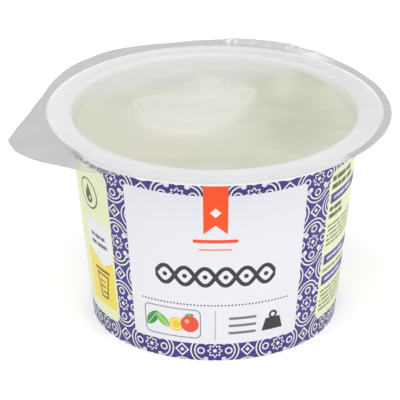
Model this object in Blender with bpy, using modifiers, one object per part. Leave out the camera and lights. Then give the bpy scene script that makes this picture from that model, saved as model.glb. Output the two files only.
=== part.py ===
"""A sealed pot of burrata: white pot, printed label, clear peel-off film, whey and the cheese in it.

Metres, +Z up. The origin is the centre of the flat base, on the pot's axis, and the label's
front panel faces -Y. Sizes below are in millimetres and MM turns them into metres.
"""
import math

import bmesh
import bpy
from mathutils import Quaternion, Vector

MM = 0.001
NAME = "burrata_pot"
STEPS = 64                      # sides of the turned pieces
GAP = 0.3                       # between pieces that touch

# pot
RIM_R = 47.5                    # outer radius of the lip
RIM_TOP = 61.7                  # top of the sealing flange
FLANGE_IN_R = 41.3              # where the flange rounds into the wall
FLANGE_T = 0.8
SKIRT_H = 1.5                   # the lip turned down round the flange
WALL_T = 0.7
FLOOR_T = 0.8
SIDE_R0 = 35.16                 # outside of the labelled side at the base
SIDE_SLOPE = 0.1027             # how much that radius grows for each millimetre up
BASE_ROUND = 0.8

# label
LABEL_T = 0.3
LABEL_LOW = 1.0
LABEL_HIGH = 59.4

# film
FILM_R = 50.0
FILM_T = 0.3
TAB_TIP = (-57.4, -21.5)        # the pull tab's blunt end, upper and lower corner
TAB_HEEL = (-54.8, -29.3)
TAB_BELLY = (-42.0, -42.0)      # control point of its bulging lower side
TAB_FOOT_ANGLE = -115.0         # where that side runs back into the round edge
TAB_ROOT_ANGLE = 165.0          # where its straight upper side leaves the round edge
CURL_FROM_R = 47.9              # the free edge turns up outside this radius
CURLS = ((72.0, 26.0, 1.5), (140.0, 17.0, 1.6), (105.0, 20.0, 0.7))   # angle, half width, rise

# cheese and whey
WHEY_TOP = 58.3
BALL_AT = (-4.0, 2.6)
BALL_R = 31.0
BALL_MID = 29.6                 # height of its widest circle
BALL_RISE = 30.6                # from there to the crown
BALL_DROP = 30.0                # from there down, before the pot's floor flattens it
SAG_X = -0.15                   # sideways sag for each millimetre above its widest circle
KNOT_LEAN = 35.0                # degrees from upright
KNOT_HEADING = 64.0             # degrees from +X
PLEATS = 11
LOBES = ((0.5, 3.6, 7.0, 3.6, 6.2), (-1.5, -4.4, 5.0, 3.2, 5.0))   # along, side, reach, width, rise


def side_radius(height):
    """Outside of the printed side at a height."""
    return SIDE_R0 + SIDE_SLOPE * height


def wall_radius(height):
    """Outside of the pot's own wall, under the label."""
    return side_radius(height) - LABEL_T - GAP


def bore_radius(height):
    """Inside of the pot's wall."""
    return wall_radius(height) - WALL_T


def new_material(name, colour, roughness, alpha=1.0):
    material = bpy.data.materials.new(name)
    material.use_nodes = True
    shader = material.node_tree.nodes["Principled BSDF"]
    shader.inputs["Base Color"].default_value = (*colour, 1.0)
    shader.inputs["Roughness"].default_value = roughness
    shader.inputs["Metallic"].default_value = 0.0
    shader.inputs["Alpha"].default_value = alpha
    return material


def new_collection(name):
    collection = bpy.data.collections.new(name)
    bpy.context.scene.collection.children.link(collection)
    return collection


def add_object(name, mesh, collection, material=None):
    item = bpy.data.objects.new(name, mesh)
    collection.objects.link(item)
    if material:
        mesh.materials.append(material)
    return item


def arc(cx, cz, radius, start, stop, count):
    """Points on a round corner of a profile, angles in degrees."""
    points = []
    for i in range(count + 1):
        angle = math.radians(start + (stop - start) * i / count)
        points.append((cx + radius * math.cos(angle), cz + radius * math.sin(angle)))
    return points


def turned(name, profile, closed, collection, material):
    """Turn a profile of (radius, height) points about the pot's axis."""
    verts = [(r * MM, 0.0, z * MM) for r, z in profile]
    edges = [(i, i + 1) for i in range(len(verts) - 1)]
    if closed:
        edges.append((len(verts) - 1, 0))
    mesh = bpy.data.meshes.new(name)
    mesh.from_pydata(verts, edges, [])
    item = add_object(name, mesh, collection, material)
    screw = item.modifiers.new("turn", "SCREW")
    screw.axis = "Z"
    screw.angle = math.tau
    screw.steps = STEPS
    screw.render_steps = STEPS
    screw.use_merge_vertices = True
    screw.merge_threshold = 0.00001
    screw.use_smooth_shade = True
    return item


def make_pot(collection):
    """Thin turned cup: flat base, tapering wall, sealing flange and a lip turned down round it."""
    round_in = 1.5
    round_out = 0.6
    under = RIM_TOP - FLANGE_T
    profile = [(0.0, FLOOR_T)]
    profile += arc(bore_radius(FLOOR_T) - round_in, FLOOR_T + round_in, round_in, -90, -5, 3)
    profile += arc(FLANGE_IN_R + 0.5, RIM_TOP - 1.0, 1.0, 174, 90, 3)
    profile += arc(RIM_R - round_out, RIM_TOP - round_out, round_out, 90, 0, 3)
    profile += [(RIM_R, RIM_TOP - SKIRT_H), (RIM_R - 0.8, RIM_TOP - SKIRT_H)]
    profile += [(RIM_R - 0.8, under), (wall_radius(under), under)]
    corner = wall_radius(0.0) - BASE_ROUND
    profile += arc(corner, BASE_ROUND, BASE_ROUND, 0, -90, 2)
    profile += [(0.0, 0.0)]
    white = new_material("pot_white", (0.86, 0.87, 0.88), 0.35)
    return turned("pot", profile, False, collection, white)


def make_label(collection):
    """Printed sleeve wrapped once round the wall."""
    profile = [
        (side_radius(LABEL_HIGH), LABEL_HIGH),
        (side_radius(LABEL_LOW), LABEL_LOW),
        (side_radius(LABEL_LOW) - LABEL_T, LABEL_LOW),
        (side_radius(LABEL_HIGH) - LABEL_T, LABEL_HIGH),
    ]
    purple = new_material("label_print", (0.09, 0.07, 0.29), 0.4)
    return turned("label", profile, True, collection, purple)


def ball_frame():
    """Rotation from the knot's own frame: +Z out through the knot, +X down its leaning side."""
    heading = Quaternion((0.0, 0.0, 1.0), math.radians(KNOT_HEADING))
    lean = Quaternion((0.0, 1.0, 0.0), math.radians(KNOT_LEAN))
    return heading @ lean


def lobe(direction, along, side, reach, width, height):
    """Rounded lump of the knot, centred `along` and `side` millimetres from its axis."""
    u = (direction.x * BALL_R - along) / reach
    v = (direction.y * BALL_R - side) / width
    return height * math.exp(-(u * u + v * v) ** 1.5)


def ball_point(direction, extra):
    """Surface point of the cheese for a direction in the knot's own frame."""
    off = math.acos(max(-1.0, min(1.0, direction.z)))
    turn = math.atan2(direction.y, direction.x)
    world = ball_frame() @ direction
    drop = BALL_RISE if world.z > 0.0 else BALL_DROP
    radius = 1.0 / math.sqrt((world.x ** 2 + world.y ** 2) / BALL_R ** 2 + world.z ** 2 / drop ** 2)
    near_knot = math.exp(-((off - 0.42) / 0.26) ** 2)
    radius += 0.35 * near_knot * math.cos(PLEATS * turn + 2.0 * off)
    if direction.z > 0.0:
        radius -= 1.2 * math.exp(-((off - 0.34) / 0.13) ** 2)
        radius += lobe(direction, *LOBES[0])
        radius += lobe(direction, *LOBES[1])
    point = world * (radius + extra)
    low = FLOOR_T + GAP - extra
    sag = SAG_X * max(0.0, point.z)
    return Vector((
        (point.x + sag + BALL_AT[0]) * MM,
        (point.y + BALL_AT[1]) * MM,
        max(point.z + BALL_MID, low) * MM,
    ))


def ball_mesh(name, extra):
    """Pleated ball with a two-lobed knot, its rings closer together near the knot."""
    work = bmesh.new()
    bmesh.ops.create_uvsphere(work, u_segments=48, v_segments=26, radius=1.0)
    for vert in work.verts:
        off = math.acos(max(-1.0, min(1.0, vert.co.z)))
        turn = math.atan2(vert.co.y, vert.co.x)
        eased = math.pi * (off / math.pi) ** 1.35
        flat = math.sin(eased)
        direction = Vector((flat * math.cos(turn), flat * math.sin(turn), math.cos(eased)))
        vert.co = ball_point(direction, extra)
    mesh = bpy.data.meshes.new(name)
    work.to_mesh(mesh)
    work.free()
    mesh.shade_smooth()
    return mesh


def make_burrata(collection):
    milk = new_material("burrata_white", (0.80, 0.80, 0.70), 0.35)
    return add_object("burrata", ball_mesh("burrata", 0.0), collection, milk)


def make_whey(collection, cutters):
    """Cloudy whey up to its level, cut round the cheese."""
    low = FLOOR_T + GAP
    high = WHEY_TOP
    profile = [(0.0, high), (bore_radius(high) - GAP, high)]
    profile += [(bore_radius(low + 2.0) - GAP, low + 2.0), (bore_radius(low) - GAP - 1.3, low), (0.0, low)]
    cloudy = new_material("whey", (0.66, 0.69, 0.53), 0.15)
    whey = turned("whey", profile, False, collection, cloudy)
    pocket = add_object("cut_pocket", ball_mesh("cut_pocket", GAP), cutters)
    pocket.hide_render = True
    pocket.display_type = "WIRE"
    cut = whey.modifiers.new("pocket", "BOOLEAN")
    cut.operation = "DIFFERENCE"
    cut.solver = "EXACT"
    cut.object = pocket
    return whey


def on_circle(angle, radius):
    a = math.radians(angle)
    return Vector((radius * math.cos(a), radius * math.sin(a)))


def film_outline():
    """Round lid with a pull tab: straight upper side, blunt tip, bulging lower side."""
    round_steps = 44
    span = TAB_ROOT_ANGLE - TAB_FOOT_ANGLE
    points = [on_circle(TAB_FOOT_ANGLE + span * i / round_steps, FILM_R) for i in range(round_steps + 1)]
    root = points[-1]
    foot = points[0]
    tip = Vector(TAB_TIP)
    heel = Vector(TAB_HEEL)
    belly = Vector(TAB_BELLY)
    side_steps = 6
    points += [root.lerp(tip, i / side_steps) for i in range(1, side_steps + 1)]
    points.append(heel)
    for i in range(1, side_steps):
        t = i / side_steps
        points.append(heel.lerp(belly, t).lerp(belly.lerp(foot, t), t))
    return points


def curl(point):
    """How far the free edge has turned up."""
    radius = point.length
    if radius <= CURL_FROM_R:
        return 0.0
    angle = math.degrees(math.atan2(point.y, point.x))
    out = (radius - CURL_FROM_R) / (FILM_R - CURL_FROM_R)
    rise = sum(height * math.exp(-((angle - mid) / half) ** 2) for mid, half, height in CURLS)
    return rise * out ** 1.4


def make_film(collection):
    """Clear film sealed on the flange, its free edge curled up at the back."""
    outline = film_outline()
    count = len(outline)
    level = RIM_TOP + GAP
    rings = [[p.normalized() * CURL_FROM_R for p in outline]]
    rings.append([p.lerp(rings[0][i], 0.5) for i, p in enumerate(outline)])
    rings.append(outline)
    verts = [(p.x * MM, p.y * MM, (level + curl(p)) * MM) for ring in rings for p in ring]
    faces = [tuple(range(count))]
    for ring in range(len(rings) - 1):
        for i in range(count):
            j = (i + 1) % count
            faces.append((ring * count + i, (ring + 1) * count + i, (ring + 1) * count + j, ring * count + j))
    mesh = bpy.data.meshes.new("film")
    mesh.from_pydata(verts, [], faces)
    clear = new_material("clear_film", (0.85, 0.86, 0.87), 0.12, 0.3)
    film = add_object("film", mesh, collection, clear)
    thick = film.modifiers.new("thickness", "SOLIDIFY")
    thick.thickness = FILM_T * MM
    thick.offset = 1.0
    return film


def main():
    for item in list(bpy.data.objects):
        bpy.data.objects.remove(item)
    parts = new_collection(NAME)
    cutters = new_collection("cutters")
    make_pot(parts)
    make_label(parts)
    make_whey(parts, cutters)
    make_burrata(parts)
    make_film(parts)


main()
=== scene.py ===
"""Looks of a sealed pot of burrata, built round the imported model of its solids.

The pot stands on its base at the origin and its label's front panel faces -Y. Lengths in the
shape functions are in millimetres, and MM turns them into metres when a mesh is made.
"""
import math

import bpy
import numpy as np
from bpy.props import FloatProperty, FloatVectorProperty, IntProperty, PointerProperty
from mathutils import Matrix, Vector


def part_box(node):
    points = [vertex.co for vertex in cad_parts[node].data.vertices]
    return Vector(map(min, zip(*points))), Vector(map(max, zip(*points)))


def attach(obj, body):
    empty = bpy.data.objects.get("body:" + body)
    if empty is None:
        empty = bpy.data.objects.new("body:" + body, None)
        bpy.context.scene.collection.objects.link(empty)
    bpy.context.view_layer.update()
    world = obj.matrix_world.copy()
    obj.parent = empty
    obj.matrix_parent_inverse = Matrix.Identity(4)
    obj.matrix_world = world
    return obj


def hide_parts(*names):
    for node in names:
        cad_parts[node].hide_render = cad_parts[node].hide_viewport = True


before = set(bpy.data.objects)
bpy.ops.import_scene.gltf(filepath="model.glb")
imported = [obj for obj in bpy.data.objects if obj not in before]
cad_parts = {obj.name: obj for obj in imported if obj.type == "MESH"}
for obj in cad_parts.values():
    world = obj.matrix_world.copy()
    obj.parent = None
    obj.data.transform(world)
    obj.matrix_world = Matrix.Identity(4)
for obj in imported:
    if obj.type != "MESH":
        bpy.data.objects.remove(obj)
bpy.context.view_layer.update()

bl_info = {
    "name": "Sealed Burrata Pot",
    "version": (1, 0, 0),
    "blender": (4, 5, 0),
    "location": "3D View > Sidebar > Burrata",
    "description": "Builds the pot, its printed label, the film, the whey and the cheese",
    "category": "Object",
}

MM = 0.001


def node_box(node):
    """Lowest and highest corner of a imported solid, in millimetres."""
    low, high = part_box(node)
    return np.array(low) / MM, np.array(high) / MM


POT_LOW, POT_HIGH = node_box("pot")
LABEL_LOW, LABEL_HIGH = node_box("label")
WHEY_LOW, WHEY_HIGH = node_box("whey")
FILM_LOW, FILM_HIGH = node_box("film")

RIM_R = POT_HIGH[0]
RIM_TOP = POT_HIGH[2]
SIDE_SLOPE = 0.1027             # growth of the side's radius for each millimetre up
SIDE_R0 = LABEL_HIGH[0] - SIDE_SLOPE * LABEL_HIGH[2]
FLOOR_TOP = WHEY_LOW[2] - 0.3
PRINT_SCALE = 0.6685            # millimetres of print for each degree round the pot


def side_radius(height):
    """Outside of the printed side: a straight taper."""
    return SIDE_R0 + SIDE_SLOPE * height


def srgb(red, green, blue):
    """Linear colour from 0-255 display values."""
    values = np.array((red, green, blue)) / 255.0
    linear = np.where(values <= 0.04045, values / 12.92, ((values + 0.055) / 1.055) ** 2.4)
    return tuple(float(v) for v in linear)


def smooth(low, high, value):
    """Smooth step from 0 at low to 1 at high."""
    t = np.clip((value - low) / (high - low), 0.0, 1.0)
    return t * t * (3.0 - 2.0 * t)


def bump(value, middle, width):
    """Bell curve of height 1."""
    return np.exp(-((value - middle) / width) ** 2)


# ---------------------------------------------------------------- meshes

def grid_faces(rows, columns):
    """Corners of a grid's quads, whose columns run round and close."""
    row = np.arange(rows - 1)[:, None] * columns
    here = np.arange(columns)[None, :]
    following = (here + 1) % columns
    corners = (row + here, row + columns + here, row + columns + following, row + following)
    return np.stack(corners, axis=-1).reshape(-1, 4)


def make_mesh(name, points, quads, caps=()):
    """Mesh from points in millimetres, the corners of its quads and of the caps that shut it."""
    sizes = np.concatenate([np.full(len(quads), 4), [len(cap) for cap in caps]]).astype(np.int32)
    corners = np.concatenate([quads.ravel(), *caps]).astype(np.int32)
    mesh = bpy.data.meshes.new(name)
    mesh.vertices.add(len(points))
    mesh.vertices.foreach_set("co", (points * MM).astype(np.float32).ravel())
    mesh.loops.add(len(corners))
    mesh.loops.foreach_set("vertex_index", corners)
    mesh.polygons.add(len(sizes))
    mesh.polygons.foreach_set("loop_start", (np.cumsum(sizes) - sizes).astype(np.int32))
    mesh.update(calc_edges=True)
    mesh.validate()
    mesh.shade_smooth()
    return mesh


def ring_mesh(name, points):
    """Closed mesh of rings of points [ring, column, xyz], with the first and last ring capped."""
    rows, columns = points.shape[:2]
    ring = np.arange(columns)
    caps = (ring, ring[::-1] + (rows - 1) * columns)
    return make_mesh(name, points.reshape(-1, 3), grid_faces(rows, columns), caps)


def ring_loop_mesh(name, points):
    """Mesh of rings of points whose last ring joins the first, as on a sleeve with a thickness."""
    rows, columns = points.shape[:2]
    quads = grid_faces(rows + 1, columns) % (rows * columns)
    return make_mesh(name, points.reshape(-1, 3), quads)


def revolve(profile, steps):
    """Rings of points from a profile of (radius, height) rows, turned about the pot's axis."""
    turn = np.linspace(0.0, math.tau, steps, endpoint=False)
    radius = profile[:, :1]
    x = radius * np.cos(turn)
    y = radius * np.sin(turn)
    z = np.repeat(profile[:, 1:2], steps, axis=1)
    return np.stack([x, y, z], axis=-1)


def arc(cx, cz, radius, start, stop, count, tall=1.0):
    """Round corner of a profile: count + 1 points on an oval, angles in degrees."""
    angle = np.radians(np.linspace(start, stop, count + 1))
    return np.stack([cx + radius * np.cos(angle), cz + tall * radius * np.sin(angle)], axis=-1)


def line(start, stop, count):
    """Straight stretch of a profile, without its end point."""
    t = np.linspace(0.0, 1.0, count, endpoint=False)[:, None]
    return np.array(start) * (1.0 - t) + np.array(stop) * t


def store(mesh, name, values):
    """Keep one number for each vertex."""
    layer = mesh.attributes.new(name, "FLOAT", "POINT")
    layer.data.foreach_set("value", np.ascontiguousarray(values.reshape(-1), dtype=np.float32))


def add_piece(name, mesh, material, node):
    """Put a finished mesh in the scene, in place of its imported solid."""
    item = bpy.data.objects.new(name, mesh)
    bpy.context.scene.collection.objects.link(item)
    mesh.materials.append(material)
    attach(item, "root")
    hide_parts(node)
    return item


# ---------------------------------------------------------------- material nodes

class Nodes:
    """Short calls that build one material."""

    def __init__(self, name):
        self.material = bpy.data.materials.new(name)
        self.material.use_nodes = True
        self.tree = self.material.node_tree
        self.tree.nodes.clear()
        self.output = self.add("ShaderNodeOutputMaterial")

    def add(self, kind, **settings):
        node = self.tree.nodes.new(kind)
        for key, value in settings.items():
            setattr(node, key, value)
        return node

    def feed(self, socket, value):
        if isinstance(value, bpy.types.NodeSocket):
            self.tree.links.new(value, socket)
        elif isinstance(value, tuple) and len(value) == 3 and socket.type == "RGBA":
            socket.default_value = (*value, 1.0)
        else:
            socket.default_value = value

    def math(self, operation, first, second=0.0, third=0.0, clamp=False):
        node = self.add("ShaderNodeMath", operation=operation, use_clamp=clamp)
        for socket, value in zip(node.inputs, (first, second, third)):
            self.feed(socket, value)
        return node.outputs[0]

    def mix(self, factor, under, over):
        """Colour over laid on colour under where factor is 1."""
        node = self.add("ShaderNodeMix", data_type="RGBA", clamp_factor=True)
        self.feed(node.inputs["Factor"], factor)
        self.feed(node.inputs[6], under)
        self.feed(node.inputs[7], over)
        return node.outputs[2]

    def blend(self, factor, under, over):
        """Number over laid on number under where factor is 1."""
        node = self.add("ShaderNodeMix", data_type="FLOAT", clamp_factor=True)
        self.feed(node.inputs["Factor"], factor)
        self.feed(node.inputs[2], under)
        self.feed(node.inputs[3], over)
        return node.outputs[0]

    def place(self):
        """Object coordinates in millimetres: the vector and its three parts."""
        coordinates = self.add("ShaderNodeTexCoord").outputs["Object"]
        scale = self.add("ShaderNodeVectorMath", operation="SCALE")
        self.feed(scale.inputs[0], coordinates)
        scale.inputs["Scale"].default_value = 1.0 / MM
        parts = self.add("ShaderNodeSeparateXYZ")
        self.feed(parts.inputs[0], scale.outputs[0])
        return scale.outputs[0], parts.outputs[0], parts.outputs[1], parts.outputs[2]

    def hypot(self, first, second):
        squares = self.math("MULTIPLY", first, first)
        return self.math("SQRT", self.math("MULTIPLY_ADD", second, second, squares))

    def noise(self, vector, scale, detail=3.0, stretch=(1.0, 1.0, 1.0)):
        mapping = self.add("ShaderNodeMapping")
        self.feed(mapping.inputs["Vector"], vector)
        mapping.inputs["Scale"].default_value = stretch
        node = self.add("ShaderNodeTexNoise")
        self.feed(node.inputs["Vector"], mapping.outputs[0])
        node.inputs["Scale"].default_value = scale
        node.inputs["Detail"].default_value = detail
        return node.outputs[0]

    def ramp(self, value, low, high):
        """0 at low, 1 at high, smooth between."""
        node = self.add("ShaderNodeMapRange", interpolation_type="SMOOTHSTEP")
        self.feed(node.inputs["Value"], value)
        node.inputs["From Min"].default_value = low
        node.inputs["From Max"].default_value = high
        return node.outputs[0]

    def attribute(self, name):
        return self.add("ShaderNodeAttribute", attribute_name=name).outputs["Fac"]

    def relief(self, height, strength, distance):
        node = self.add("ShaderNodeBump")
        self.feed(node.inputs["Height"], height)
        node.inputs["Strength"].default_value = strength
        node.inputs["Distance"].default_value = distance * MM
        return node.outputs[0]

    def plastic(self, colour, roughness, normal=None, **settings):
        """Principled surface; other sockets by name."""
        node = self.add("ShaderNodeBsdfPrincipled")
        self.feed(node.inputs["Base Color"], colour)
        self.feed(node.inputs["Roughness"], roughness)
        for key, value in settings.items():
            self.feed(node.inputs[key.replace("_", " ")], value)
        if normal is not None:
            self.feed(node.inputs["Normal"], normal)
        return node.outputs[0]

    def shade(self, factor, first, second):
        """Second surface in place of the first where factor is 1."""
        node = self.add("ShaderNodeMixShader")
        self.feed(node.inputs[0], factor)
        self.tree.links.new(first, node.inputs[1])
        self.tree.links.new(second, node.inputs[2])
        return node.outputs[0]

    def finish(self, shader):
        self.tree.links.new(shader, self.output.inputs["Surface"])
        return self.material


# ---------------------------------------------------------------- settings

class BurrataPotSettings(bpy.types.PropertyGroup):
    wall: FloatProperty(name="Wall", description="Thickness of the pot's wall",
                        default=1.0 * MM, min=0.3 * MM, unit="LENGTH")
    bead: FloatProperty(name="Sealing bead", description="Rise of the bead at the mouth over the lip",
                        default=0.12 * MM, min=0.0, unit="LENGTH")
    skirt: FloatProperty(name="Lip height", description="Height of the lip turned down round the flange",
                         default=1.85 * MM, unit="LENGTH")
    colour: FloatVectorProperty(name="Plastic", description="Colour of the pot's plastic",
                                default=srgb(244, 244, 245), subtype="COLOR", size=3, min=0.0, max=1.0)
    # The bore colour is painted light: a lighter tint that the material lays on the inside wall near the mouth and on
    # the back left of the pot's top, where they lie in shade.
    bore: FloatVectorProperty(name="Bore", description="Colour of the thin wall inside, which light passes",
                              default=srgb(254, 254, 253), subtype="COLOR", size=3, min=0.0, max=1.0)
    steps: IntProperty(name="Steps", description="Sides of the turned pieces", default=256, min=32)


class BurrataLabelSettings(bpy.types.PropertyGroup):
    ground: FloatVectorProperty(name="Ground", description="Purple ground of the pattern",
                                default=srgb(66, 54, 141), subtype="COLOR", size=3, min=0.0, max=1.0)
    panel: FloatVectorProperty(name="Front panel", description="Colour of the front panel",
                               default=srgb(235, 236, 241), subtype="COLOR", size=3, min=0.0, max=1.0)
    side: FloatVectorProperty(name="Side panels", description="Colour of the side panels",
                              default=srgb(233, 241, 198), subtype="COLOR", size=3, min=0.0, max=1.0)
    ribbon: FloatVectorProperty(name="Ribbon", description="Colour of the ribbon and its bars",
                                default=srgb(255, 84, 26), subtype="COLOR", size=3, min=0.0, max=1.0)
    tile: FloatProperty(name="Tile", description="Repeat of the pattern round the pot",
                        default=30.0 * PRINT_SCALE * MM, unit="LENGTH")


class BurrataFilmSettings(bpy.types.PropertyGroup):
    radius: FloatProperty(name="Radius", description="Radius of the film's round edge",
                          default=FILM_HIGH[0] * MM, unit="LENGTH")
    haze: FloatProperty(name="Haze", description="How much the film whitens what it covers",
                        default=0.22, min=0.0, max=1.0, subtype="FACTOR")
    edge: FloatVectorProperty(name="Free edge", description="Colour of the film's free edge",
                              default=srgb(200, 201, 204), subtype="COLOR", size=3, min=0.0, max=1.0)


class BurrataWheySettings(bpy.types.PropertyGroup):
    colour: FloatVectorProperty(name="Whey", description="Colour of the whey",
                                default=srgb(222, 225, 200), subtype="COLOR", size=3, min=0.0, max=1.0)
    # The deep colour is partly the deeper whey's own colour and partly painted shade beside the cheese.
    deep_and_shade: FloatVectorProperty(name="Deep whey", description="Colour where the whey is deepest",
                              default=srgb(197, 202, 168), subtype="COLOR", size=3, min=0.0, max=1.0)
    warm: FloatVectorProperty(name="Warm whey", description="Colour where cream has mixed in",
                              default=srgb(228, 222, 200), subtype="COLOR", size=3, min=0.0, max=1.0)
    grey: FloatVectorProperty(name="Grey whey", description="Colour in the shade behind the cheese",
                              default=srgb(213, 214, 210), subtype="COLOR", size=3, min=0.0, max=1.0)
    pale: FloatVectorProperty(name="Pale whey", description="Colour along the back wall",
                              default=srgb(236, 237, 233), subtype="COLOR", size=3, min=0.0, max=1.0)
    milk: FloatVectorProperty(name="Milky whey", description="Colour of the whey over the cheese",
                              default=srgb(239, 238, 224), subtype="COLOR", size=3, min=0.0, max=1.0)
    clear_depth: FloatProperty(name="Clear depth", description="Depth at which the whey hides the cheese",
                               default=3.0 * MM, unit="LENGTH")


class BurrataCheeseSettings(bpy.types.PropertyGroup):
    radius: FloatProperty(name="Radius", description="Widest radius of the cheese",
                          default=31.0 * MM, unit="LENGTH")
    pleats: IntProperty(name="Pleats", description="Pleats gathered at the knot", default=11, min=3)
    colour: FloatVectorProperty(name="Cheese", description="Colour of the cheese",
                                default=srgb(241, 241, 229), subtype="COLOR", size=3, min=0.0, max=1.0)


class BurrataSettings(bpy.types.PropertyGroup):
    pot: PointerProperty(type=BurrataPotSettings)
    label: PointerProperty(type=BurrataLabelSettings)
    film: PointerProperty(type=BurrataFilmSettings)
    whey: PointerProperty(type=BurrataWheySettings)
    cheese: PointerProperty(type=BurrataCheeseSettings)


# ---------------------------------------------------------------- pot

LABEL_T = 0.12                  # real thickness of the printed sleeve
SLEEVE_GAP = 0.02
SLEEVE_FOOT = 0.2


def bore_radius(height, wall):
    """Inside of the wall: the printed side less the sleeve and the wall."""
    return side_radius(height) - LABEL_T - SLEEVE_GAP - wall


def pot_profile(pot):
    """Radius and height of the pot's skin, from the middle of its floor over the lip to its base.

    A flat floor, a round corner, the straight bore, a raised sealing bead at the mouth, the
    flange dished behind it, the rounded lip with its skirt, the outer wall and the foot.
    """
    wall = pot.wall / MM
    skirt = pot.skirt / MM
    outer = SIDE_R0 - LABEL_T - SLEEVE_GAP
    floor_round, mouth_round, mouth_tall, lip_round, foot_round = 2.2, 1.0, 2.6, 0.6, 0.35
    bead_top = RIM_TOP + pot.bead / MM
    mouth_foot = bead_top - mouth_round * mouth_tall
    mouth = bore_radius(mouth_foot, wall) + mouth_round
    under = RIM_TOP - 0.75
    flange = np.linspace(mouth, RIM_R - lip_round, 34)[1:-1]
    dish = bead_top - (bead_top - RIM_TOP + 0.08) * smooth(mouth + 0.2, mouth + 3.4, flange)
    dish += 0.08 * smooth(RIM_R - 2.4, RIM_R - 0.9, flange)
    return np.concatenate([
        line((0.3, FLOOR_TOP), (bore_radius(FLOOR_TOP, wall) - floor_round, FLOOR_TOP), 12),
        arc(bore_radius(FLOOR_TOP, wall) - floor_round, FLOOR_TOP + floor_round, floor_round, -90, -6, 8),
        line((bore_radius(FLOOR_TOP + 3.0, wall), FLOOR_TOP + 3.0),
             (bore_radius(mouth_foot, wall), mouth_foot), 24),
        arc(mouth, mouth_foot, mouth_round, 180, 90, 14, mouth_tall),
        np.stack([flange, dish], axis=-1),
        arc(RIM_R - lip_round, RIM_TOP - lip_round, lip_round, 90, 0, 7),
        arc(RIM_R - 0.3, RIM_TOP - skirt + 0.3, 0.3, 0, -180, 6),
        arc(RIM_R - 1.1, under - 0.5, 0.5, 0, 90, 4),
        arc(side_radius(under) + 0.5, under - 0.5, 0.5, 90, 180, 4),
        line((side_radius(under - 1.2) - LABEL_T - SLEEVE_GAP, under - 1.2),
             (outer + SIDE_SLOPE * 1.2, 1.2), 20),
        arc(outer - foot_round, foot_round, foot_round, 4, -90, 6),
        line((outer - foot_round - 0.4, 0.0), (0.3, 0.0), 10),
    ])


def pot_material(pot):
    """White polypropylene: soft gloss, a faint moulded grain and a little light passing through. The inside wall near
    the mouth and the back left of the pot's top are painted lighter, as painted light where they lie in shade.
    """
    n = Nodes("pot plastic")
    vector, east, north, height = n.place()
    cloud = n.noise(vector, 0.06, 2.0)
    grain = n.noise(vector, 2.4, 2.0)
    tint = n.mix(n.ramp(cloud, 0.35, 0.65), tuple(pot.colour), tuple(c * 0.965 for c in pot.colour))
    top = n.ramp(height, 54.0, 56.0)
    # Painted light: above 54 mm the inside wall near the mouth, and everything towards the back left, take the
    # lighter bore colour and less subsurface, in place of light the lamps don't bring there.
    bore = n.math("SUBTRACT", top, n.ramp(n.hypot(east, north), 40.2, 41.4), clamp=True)
    back = n.ramp(n.math("MULTIPLY_ADD", east, -0.7, n.math("MULTIPLY", north, 0.7)), 5.0, 35.0)
    bright = n.math("MAXIMUM", bore, n.math("MULTIPLY", n.math("MULTIPLY", back, top), 0.85))
    tint = n.mix(bright, tint, tuple(pot.bore))
    roughness = n.blend(grain, 0.30, 0.42)
    shader = n.plastic(tint, roughness, n.relief(grain, 0.08, 0.05),
                       Subsurface_Weight=n.blend(bright, 0.5, 0.1), Subsurface_Radius=(0.0030, 0.0030, 0.0030))
    return n.finish(shader)


class OBJECT_OT_burrata_pot(bpy.types.Operator):
    """Turn the pot: floor, bore, sealing flange, lip and foot in one skin"""
    bl_idname = "object.burrata_pot"
    bl_label = "Pot"

    def execute(self, context):
        pot = context.scene.burrata.pot
        rings = revolve(pot_profile(pot), pot.steps)
        mesh = ring_mesh("pot_shell", rings[:, ::-1])
        add_piece("pot_shell", mesh, pot_material(pot), "pot")
        return {"FINISHED"}


# ---------------------------------------------------------------- label

EDGE = 0.09                     # softness of a printed edge, in millimetres
PATTERN_FOOT = 3.4              # height at which the pattern's first row of medallions sits


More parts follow.
